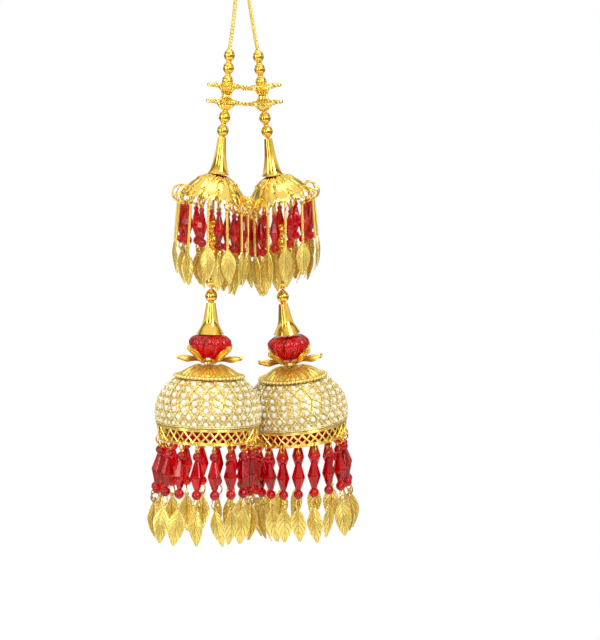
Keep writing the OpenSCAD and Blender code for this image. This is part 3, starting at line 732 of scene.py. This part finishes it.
filigree = polarSheet(0.9, lambda a: filigreeLook["r"], filigreeHeight, 44, 240, filigreeLook["sheet"])
grain = ball(filigreeLook["grainR"], 8, 6)
for s, side in enumerate(sides):
    m = strandFrame(s, atDome)
    parts = [(filigree, m)]
    for k in range(filigreeLook["grains"]):
        p = polar(filigreeLook["r"] + 0.15, 360 * k / filigreeLook["grains"], domeZ(filigreeLook["r"]) + 0.5)
        parts.append((grain, m @ Matrix.Translation(p)))
    makePiece(f"{side}_filigree", parts, satinGold, [f"{side}_filigree_cap"], smooth=50, painted_shade_and_crest=1.8)
print("filigree done")

# domes: shell, pearls in bezels, lattice with grains
domeLook = {"rows": (28, 28, 28, 26, 24, 20, 16), "pearlR": 1.05, "inset": 1.0, "wire": 0.22, "bezel": 1.12}
footAngle = math.degrees(math.asin((domeFootZ - domeCentreZ) / domeRise))
rimAngle = math.degrees(math.asin((rimZ - domeCentreZ) / domeRise))


def domePoint(a, inset):
    a = math.radians(a)
    return (domeR - inset) * math.cos(a), domeCentreZ + (domeRise - inset) * math.sin(a)


shellLine = [domePoint(footAngle + (84 - footAngle) * k / 24, domeLook["inset"]) for k in range(25)]
shellLine += [domePoint(84 - (84 - footAngle) * k / 24, 2.1) for k in range(25)]
domeShell = lathe(shellLine + [shellLine[0]], 72)
pearlBall = ball(domeLook["pearlR"], 12, 8)
rowCount = len(domeLook["rows"])
pearlSpots = []
for i, count in enumerate(domeLook["rows"]):
    a = footAngle + 4.6 + (rimAngle - 5.2 - footAngle - 4.6) * i / (rowCount - 1)
    r, z = domePoint(a, domeLook["pearlR"] + 0.02)
    pearlSpots.append([polar(r, 360 * (k + 0.5 * (i % 2)) / count, z) for k in range(count)])
grainSpots = []
for i, count in enumerate(domeLook["rows"]):
    a = footAngle + 4.6 + (rimAngle - 5.2 - footAngle - 4.6) * i / (rowCount - 1)
    r, z = domePoint(a, 0.55)
    grainSpots.append([polar(r, 360 * (k + 0.5 + 0.5 * (i % 2)) / count, z) for k in range(count)])
footR, footZ = domePoint(footAngle + 1.2, 0.6)
topR, topZ = domePoint(rimAngle - 1.0, 0.6)
ends = [[polar(footR, 360 * k / 28, footZ) for k in range(28)],
        [polar(topR, 360 * (k + 0.5) / 16, topZ) for k in range(16)]]
lattice, studs = [], []
levels = [ends[0]] + grainSpots + [ends[1]]
for low, high in zip(levels, levels[1:]):     # wires that cross between the pearls
    for p in low:
        for q in sorted(high, key=lambda q: (q - p).length)[:2]:
            middle = (p + q) / 2
            out = Vector((middle.x, middle.y, middle.z - domeCentreZ)).normalized()
            lattice.append([p, middle + out * 0.12, q])
            studs += [p.lerp(q, share) + out * 0.2 for share in (0.33, 0.67)]
latticeMesh = wires(lattice, domeLook["wire"], resolution=0)
bm = bmesh.new()
bmesh.ops.create_icosphere(bm, subdivisions=1, radius=0.33)
stud = asMesh(bm)
latticeGrain = ball(0.58, 8, 6)
bezel = wires([ringPath(domeLook["bezel"], 12)], 0.16, closed=True, resolution=0)


def outward(p):
    # turns a flat shape's axis to the dome's outward direction at p
    n = Vector((p.x / domeR ** 2, p.y / domeR ** 2, (p.z - domeCentreZ) / domeRise ** 2)).normalized()
    return Matrix.Translation(p) @ n.to_track_quat("Z", "Y").to_matrix().to_4x4()


for s, side in enumerate(sides):
    m = strandFrame(s, atDome)
    pearls = [(pearlBall, m @ Matrix.Translation(p)) for row in pearlSpots for p in row]
    makePiece(f"{side}_pearls", pearls, pearl, [f"{side}_pearl_dome"], smooth=180)
    parts = [(domeShell, m), (latticeMesh, m)]
    parts += [(latticeGrain, m @ Matrix.Translation(p)) for row in grainSpots for p in row]
    parts += [(stud, m @ Matrix.Translation(p)) for p in ends[0] + studs]
    around = [turn(60 * k) @ shift(1.62, 0, -0.35) for k in range(6)]
    parts += [(stud, m @ outward(p) @ place) for row in pearlSpots for p in row for place in around]
    parts += [(bezel, m @ outward(p) @ shift(0, 0, -0.15)) for row in pearlSpots for p in row]
    for z, r in ((domeFootZ + 0.35, 19.3), (domeFootZ + 0.95, 19.35)):
        parts.append((wires([ringPath(r, 96)], 0.2, closed=True), m @ shift(0, 0, z)))
    makePiece(f"{side}_dome_shell", parts, paleGold, [f"{side}_pearl_dome"], smooth=50)
print("domes done")

# pierced gallery bands
bandLook = {"cells": 36, "top": 18.9, "foot": 17.8, "height": 6.2, "sheet": 0.5, "turns": (0, 10),
            "wire": 0.2}
bandTopZ = domeFootZ - 0.1
bandFootZ = bandTopZ - bandLook["height"]
cell = 360 / bandLook["cells"]
cellWidth = 2 * math.pi * 18.35 / bandLook["cells"]


def bandPoint(a, h, out=0.0):
    # h is the height over the band's foot
    r = bandLook["foot"] + (bandLook["top"] - bandLook["foot"]) * h / bandLook["height"] + out
    return polar(r, a, bandFootZ + h)


def holeEdge(kind, angle):
    # outline of a hole of the gallery, as the distance from its middle
    if kind == "round":
        return 0.82
    if kind == "diamond":
        return 1.12 / (abs(math.cos(angle)) + abs(math.sin(angle)))
    a = (angle + math.pi / 2) % (2 * math.pi / 3) - math.pi / 3       # triangle that points down
    return min(0.7 / math.cos(a), 1.2)


bandHoles = [("triangle", 0.0, 4.35), ("diamond", 0.5, 3.05), ("diamond", -0.5, 3.05), ("round", 0.0, 1.8)]


def bandSheet(look):
    bm = bmesh.new()
    bmesh.ops.create_grid(bm, x_segments=look["cells"] * 14, y_segments=28, size=0.5)
    gone = set()
    for v in bm.verts:
        x = (v.co.x + 0.5) * look["cells"]
        h = (v.co.y + 0.5) * look["height"]
        k = round(x)
        for kind, shiftX, hole in bandHoles:
            dx, dy = (x - k - shiftX) * cellWidth, h - hole
            dist = math.hypot(dx, dy)
            edge = holeEdge(kind, math.atan2(dy, dx))
            if abs(dist - edge) < 0.17:                # pull the point to the hole's outline
                x += dx * (edge / dist - 1) / cellWidth
                h += dy * (edge / dist - 1)
                break
            if dist < edge:
                gone.add(v)
        v.co = (x, h, 0)
    bmesh.ops.delete(bm, geom=list(gone), context="VERTS")
    for v in bm.verts:
        v.co = bandPoint(v.co.x * cell, v.co.y)
    bmesh.ops.remove_doubles(bm, verts=bm.verts, dist=0.002)
    bmesh.ops.recalc_face_normals(bm, faces=bm.faces)
    if sum(f.normal.dot(f.calc_center_median()) for f in bm.faces) < 0:
        bmesh.ops.reverse_faces(bm, faces=bm.faces)
    bmesh.ops.solidify(bm, geom=bm.faces[:], thickness=look["sheet"])
    return asMesh(bm)


crossing = []
for k in range(bandLook["cells"]):
    for way in (-1, 1):                                # wires that cross between the holes
        line = [(0.5, 5.5), (0.28, 4.3), (0.0, 3.05), (-0.28, 1.9), (-0.5, 0.9)]
        crossing.append([bandPoint(cell * (k + way * x), h, 0.06) for x, h in line])
crossMesh = wires(crossing, bandLook["wire"], resolution=1)
sheetMesh = bandSheet(bandLook)
liningLine = [(15.1, 0.3), (15.2, 0.3), (15.6, 6.0), (15.5, 6.0), (15.1, 0.3)]
lining = lathe([(r, bandFootZ + h) for r, h in liningLine], 96)
for s, side in enumerate(sides):
    m = strandFrame(s, atDome) @ turn(bandLook["turns"][s])
    parts = [(sheetMesh, m), (crossMesh, m)]
    for r, h, thick in ((18.95, 5.95, 0.24), (18.85, 5.45, 0.2), (17.85, 0.85, 0.18), (17.75, 0.3, 0.34)):
        rail = wires([ringPath(r, 108)], thick, closed=True, resolution=2)
        parts.append((rail, m @ shift(0, 0, bandFootZ + h)))
    makePiece(f"{side}_gallery", parts, gold, [f"{side}_gallery_band"], smooth=50)
    makePiece(f"{side}_gallery_lining", [(lining, m)], redFoil, None, smooth=60)
print("bands done")

# hooks of both fringes and how the drops hang from them
hookLook = {"wire": 0.29, "eye": 0.65, "play": 0.15, "domeR": 1.8, "capR": 3.25, "chainR": 1.5,
            "dropHole": 10.2, "chainHole": 12.2, "tuck": 5.5, "facing": (36, 216)}
capDrop = {"top": 2.0, "width": 4.3, "length": 9.8, "end": 3.3, "ring": 1.3}
domeDrop = {"top": 3.4, "width": 5.2, "length": 10.9, "end": 3.6, "ring": 1.9}
flatCap = [(1.6, -0.1), (3.6, -0.4), (6.0, -1.6), (8.4, -3.5), (10.4, -5.7), (12.1, -8.2), (13.6, -10.8)]


def rimHook(s, a, holeR, centre):
    m = strandFrame(s, atFlowerCap)
    hole = m @ polar(holeR, a, lineAt(flatCap, holeR) - 0.325)
    c = m @ polar(centre[0], a, centre[1])
    out = (m @ polar(1, a, 0)) - (m @ Vector((0, 0, 0)))
    across = Vector((-out.y, out.x, 0)).normalized()
    return c - (c - hole).dot(across) * across, math.degrees(math.atan2(out.y, out.x))


def domeHook(s, k):
    a = bandLook["turns"][s] + 20 * k
    p = strandFrame(s, atDome) @ polar(17.45, a, bandFootZ + 1.9)
    return p - Vector((0, 0, hookLook["domeR"] + 0.3)), a


def lean(s, a, out, swing):
    return out - swing * math.cos(math.radians(a - hookLook["facing"][s]))


def hang(hook, a, degrees, r):
    eyeZ = -r + 0.5 + hookLook["play"] - hookLook["eye"]
    return Matrix.Translation(hook) @ turn(a) @ shift(0, 0, eyeZ) @ turn(-degrees, "Y")


def lowerRingZ(drop):
    return -(hookLook["eye"] + drop["top"] + drop["length"] + drop["end"] - 0.9) - drop["ring"] + 0.2


def leafEyeZ(drop):
    return lowerRingZ(drop) - drop["ring"] + 0.5 + hookLook["play"] - hookLook["eye"]


capLeafTurns = [[-32, 8, 32, 32, -32, 14, 14, 20, -8, 32, 32, 20],
                [-32, 8, 32, 32, -32, 14, 14, 20, -8, 32, 20, 26]]
chainLeafTurns = [14, -22, 14, -14, 6, -6, 6, 22, 30, 30, -6, -30]
domeLeafTurns = [[52, 12, 24, -14, -50, -38, -26, -14, -36, -38, -14, 24, 34, -26, -48, 12, -50, 36],
                 [52, -38, 24, -14, -50, -38, -26, -14, -36, -38, -14, 24, 34, -26, -48, 12, -50, 36]]


# red drops
def cutBead(w, l, sidesCount=6):
    # six-sided bead with a waist belt and cut ends
    bm = bmesh.new()
    rows = [(0.3, 0), (0.42, -0.03), (0.97, -0.5), (1.0, -0.53), (0.96, -0.57), (0.42, -0.96), (0.3, -1)]
    rings = []
    for share, z in rows:
        ring = [bm.verts.new(polar(share * w / 2, 360 * k / sidesCount, z * l)) for k in range(sidesCount)]
        rings.append(ring)
        for a, b in zip(ring, ring[1:] + ring[:1]):
            bm.edges.new((a, b))
    edges = bm.edges[:]
    for i in range(len(rings) - 1):
        pair = edges[i * sidesCount:(i + 2) * sidesCount]
        bmesh.ops.bridge_loops(bm, edges=pair)
    for ring in (rings[0], rings[-1]):
        bm.faces.new(ring)
    upright = [e for e in bm.edges if abs(e.verts[0].co.z - e.verts[1].co.z) > 0.01]
    bmesh.ops.bevel(bm, geom=upright, offset=0.035 * w, affect="EDGES", segments=1, profile=0.5, material=-1)
    bmesh.ops.recalc_face_normals(bm, faces=bm.faces)
    return asMesh(bm)


def dropParts(drop):
    # returns the red part and the gold part of a drop, hung from its eye
    topZ = -hookLook["eye"] - drop["top"] / 2 + 0.15
    cutZ = topZ - drop["top"] / 2 + 0.25
    endZ = cutZ - drop["length"] - drop["end"] / 2 + 0.25
    red = bmesh.new()
    addMesh(red, ball(drop["top"] / 2, 14, 10), shift(0, 0, topZ))
    addMesh(red, ball(drop["end"] / 2, 16, 12), shift(0, 0, endZ))
    addMesh(red, cutBead(drop["width"], drop["length"]), shift(0, 0, cutZ))
    wire = bmesh.new()
    lower = wires([ringPath(drop["ring"], 24)], hookLook["wire"], closed=True)
    addMesh(wire, lower, shift(0, 0, lowerRingZ(drop)) @ turn(90, "X"))
    return asMesh(red), asMesh(wire)


redCap, wireCap = dropParts(capDrop)
redDome, wireDome = dropParts(domeDrop)
pinEye = wires([ringPath(hookLook["eye"], 16)], hookLook["wire"], closed=True)


# leaves
leafRows = [(0, 0.12, 0), (0.16, 0.62, 0.02), (0.42, 1, 0.03), (0.72, 0.72, -0.03), (1, 0.06, -0.14)]


def leafMesh(l, w, look):
    # blade with a midrib, hung from its stem; its UV map runs along and across for the veins
    rows = rounded([Vector((s, half, c)) for s, half, c in leafRows], 4)
    bm = bmesh.new()
    bmesh.ops.create_grid(bm, x_segments=len(rows) - 1, y_segments=10, size=0.5)
    uv = bm.loops.layers.uv.new("UVMap")
    for f in bm.faces:
        for loop in f.loops:
            loop[uv].uv = (loop.vert.co.x + 0.5, loop.vert.co.y + 0.5)
    for v in bm.verts:
        row = rows[round((v.co.x + 0.5) * (len(rows) - 1))]
        t = v.co.y * 2
        half = max(row.y, 0.05) * w / 2
        rib = 0.22 * bump(t * half, 0, 0.35) * (1 - smoothStep(row.x, 0.85, 1.0))
        edge = 0.14 * bump(abs(t), 1, 0.15)
        fold = look["fold"] * abs(t) * half
        v.co = (row.z * l * 0.8 + rib + edge - fold, t * half, -row.x * l)
    bmesh.ops.recalc_face_normals(bm, faces=bm.faces)
    if sum(f.normal.x for f in bm.faces) < 0:
        bmesh.ops.reverse_faces(bm, faces=bm.faces)
    bmesh.ops.solidify(bm, geom=bm.faces[:], thickness=look["sheet"])
    bmesh.ops.recalc_face_normals(bm, faces=bm.faces)
    return asMesh(bm)


leafLook = {"fold": 0.16, "sheet": 0.25}
capLeaf = leafMesh(12.2, 5.4, leafLook)
domeLeaf = leafMesh(13.4, 6.6, leafLook)
leafEye = wires([ringPath(hookLook["eye"], 14)], hookLook["wire"], closed=True)
leafStem = shift(0, 0, -hookLook["eye"])
random.seed(4)


def swing(degrees):
    return turn(random.uniform(-degrees, degrees), "X") @ turn(random.uniform(-degrees, degrees), "Y")


# twisted chains, then all pieces of the fringes
chainLook = {"length": 14.5, "offset": 0.3, "wire": 0.28, "pitch": 1.9}
chainLine = [Vector((0, 0, -0.22 * k)) for k in range(round(chainLook["length"] / 0.22) + 1)]
chainPaths = ropePaths(chainLine, 2, chainLook["offset"], chainLook["pitch"])
chainMesh = wires(chainPaths, chainLook["wire"], resolution=1)
chainRing = wires([ringPath(hookLook["chainR"], 20)], hookLook["wire"], closed=True)

for s, side in enumerate(sides):
    rings, reds, golds, leaves, chains, ropes = [], [], [], [], [], []
    hookRing = wires([ringPath(hookLook["capR"], 32)], hookLook["wire"], closed=True)
    for k in range(12):
        hook, a = rimHook(s, valleyAngle(s, k), hookLook["dropHole"], (12.2, -9.0))
        m = hang(hook, a, lean(s, a, 2, 4) - hookLook["tuck"], hookLook["capR"])
        heading = turn(capLeafTurns[s][k])
        rings.append((hookRing, Matrix.Translation(hook) @ turn(a) @ turn(90, "X")))
        reds.append((redCap, m @ heading))
        golds += [(pinEye, m @ turn(90, "Y")), (wireCap, m @ heading)]
        stem = m @ shift(0, 0, leafEyeZ(capDrop)) @ heading
        leaves.append((leafEye, stem @ turn(90, "Y")))
        leaves.append((capLeaf, stem @ swing(2) @ leafStem))
        hook, a = rimHook(s, lobeAngle(s, k), hookLook["chainHole"], (13.3, -10.55))
        m = Matrix.Translation(hook) @ turn(a)
        ropes.append((chainRing, m @ turn(90, "X")))
        m = m @ shift(0, 0, -hookLook["chainR"]) @ turn(-lean(s, a, 2, 4), "Y")
        ropes.append((chainMesh, m))
        stem = m @ shift(0, 0, 0.3 - chainLook["length"]) @ turn(chainLeafTurns[k])
        chains.append((capLeaf, stem @ swing(2)))
    makePiece(f"{side}_cap_hooks", rings, plainGold, [f"{side}_cap_rings"], smooth=180)
    makePiece(f"{side}_cap_red_beads", reds, ruby, [f"{side}_cap_drops"], smooth=25)
    makePiece(f"{side}_cap_eye_pins", golds, gold, [f"{side}_cap_drops"], smooth=60)
    makePiece(f"{side}_cap_leaf_row", leaves, leafGold, [f"{side}_cap_leaves"], smooth=60, painted_shade_and_crest=2.0)
    makePiece(f"{side}_cap_chain_leaves", chains, leafGold, [f"{side}_cap_chains"],
              smooth=60, painted_shade_and_crest=2.0)
    makePiece(f"{side}_cap_ropes", ropes, gold, [f"{side}_cap_chains"], smooth=180, painted_shade_and_crest=2.4)

    rings, reds, golds, leaves = [], [], [], []
    hookRing = wires([ringPath(hookLook["domeR"], 28)], hookLook["wire"], closed=True)
    for k in range(18):
        hook, a = domeHook(s, k)
        m = hang(hook, a, lean(s, a, 1.5, 6.5), hookLook["domeR"])
        heading = turn(domeLeafTurns[s][k])
        rings.append((hookRing, Matrix.Translation(hook) @ turn(a) @ turn(90, "X")))
        reds.append((redDome, m @ heading))
        golds += [(pinEye, m @ turn(90, "Y")), (wireDome, m @ heading)]
        stem = m @ shift(0, 0, leafEyeZ(domeDrop)) @ heading
        leaves.append((leafEye, stem @ turn(90, "Y")))
        leaves.append((domeLeaf, stem @ swing(6) @ leafStem))
    makePiece(f"{side}_dome_hooks", rings, plainGold, [f"{side}_dome_rings"], smooth=180)
    makePiece(f"{side}_dome_red_beads", reds, ruby, [f"{side}_dome_drops"], smooth=25)
    makePiece(f"{side}_dome_eye_pins", golds, gold, [f"{side}_dome_drops"], smooth=60)
    makePiece(f"{side}_dome_leaf_row", leaves, leafGold, [f"{side}_dome_leaves"],
              smooth=60, painted_shade_and_crest=2.0)
print("fringes done")

# nodes that are shown as they are
for name, obj in nodes.items():
    kept = name.endswith("_thread") and ropeGold or plainGold
    for slotItem in obj.material_slots:
        slotItem.material = kept

# pale floor, soft light and camera
bm = bmesh.new()
bmesh.ops.create_circle(bm, cap_ends=True, segments=96, radius=0.55)
floor = bpy.data.objects.new("floor", asMesh(bm))
floor.location = (0, 0, -0.42)
bpy.context.scene.collection.objects.link(floor)
paper, tree, bsdf = newMaterial("paper")
coords = addNode(tree, "ShaderNodeTexCoord")
mottle = addNode(tree, "ShaderNodeTexNoise", Scale=3.0)
tree.links.new(coords.outputs["Object"], mottle.inputs["Vector"])
tone = addRamp(tree, mottle.outputs["Fac"], [(0.3, (0.9, 0.9, 0.9)), (0.7, (0.93, 0.93, 0.93))])
tree.links.new(tone.outputs["Color"], bsdf.inputs["Base Color"])
bsdf.inputs["Roughness"].default_value = 0.9
floor.data.materials.append(paper)

studioLook = {"strength": 1.0, "ground": (0.42, 0.34, 0.22), "low": (0.24, 0.18, 0.1),
              "high": (0.95, 0.9, 0.8), "flag": (0.13, 0.1, 0.05)}
world = bpy.data.worlds.new("studio")
world.use_nodes = True
tree = world.node_tree
coords = addNode(tree, "ShaderNodeTexCoord")
split = addNode(tree, "ShaderNodeSeparateXYZ")
tree.links.new(coords.outputs["Generated"], split.inputs["Vector"])
height = addNode(tree, "ShaderNodeMapRange")
height.inputs["From Min"].default_value = -1.0
tree.links.new(split.outputs["Z"], height.inputs["Value"])
sky = addRamp(tree, height.outputs["Result"], [(0.25, studioLook["ground"]), (0.47, studioLook["low"]),
                                               (0.6, studioLook["high"]), (0.72, studioLook["flag"]),
                                               (0.86, studioLook["high"])])
room = tree.nodes["Background"]
room.inputs["Strength"].default_value = studioLook["strength"]
tree.links.new(sky.outputs["Color"], room.inputs["Color"])
plain = addNode(tree, "ShaderNodeBackground")
plain.inputs["Color"].default_value = (1, 1, 1, 1)
rays = addNode(tree, "ShaderNodeLightPath")
seen = addNode(tree, "ShaderNodeMath", operation="MAXIMUM")
tree.links.new(rays.outputs["Is Camera Ray"], seen.inputs[0])
tree.links.new(rays.outputs["Is Transmission Ray"], seen.inputs[1])
mixed = addNode(tree, "ShaderNodeMixShader")
tree.links.new(seen.outputs["Value"], mixed.inputs["Fac"])
tree.links.new(room.outputs["Background"], mixed.inputs[1])
tree.links.new(plain.outputs["Background"], mixed.inputs[2])
tree.links.new(mixed.outputs["Shader"], tree.nodes["World Output"].inputs["Surface"])
bpy.context.scene.world = world


def softBox(name, place, aim, size, power, colour=(1, 1, 1)):
    light = bpy.data.lights.new(name, "AREA")
    light.shape = "RECTANGLE"
    light.size, light.size_y = size
    light.energy = power
    light.color = colour
    obj = bpy.data.objects.new(name, light)
    obj.location = place
    obj.rotation_euler = (Vector(aim) - Vector(place)).to_track_quat("-Z", "Y").to_euler()
    bpy.context.scene.collection.objects.link(obj)


softBox("key", (0.4, -0.5, 0.3), (0, 0, -0.11), (0.3, 0.42), 2.6)
softBox("fill", (-0.55, -0.4, 0.0), (0, 0, -0.11), (0.16, 0.6), 1.5, (1, 0.97, 0.92))
softBox("front", (-0.12, -0.95, 0.1), (0, 0, -0.11), (0.22, 0.8), 1.6, (1, 0.98, 0.94))
softBox("top", (0.0, 0.0, 0.5), (0, 0, -0.11), (0.45, 0.35), 0.9)

camera = bpy.data.cameras.new("camera")
camera.lens = 1986.8 / 640 * 36
cameraObj = bpy.data.objects.new("camera", camera)
cameraObj.location = (0.0214, -0.740, -0.036)
cameraObj.rotation_euler = (math.radians(90 - 6.667), 0, 0)
bpy.context.scene.collection.objects.link(cameraObj)
bpy.context.scene.camera = cameraObj
bpy.context.scene.view_settings.view_transform = "Standard"
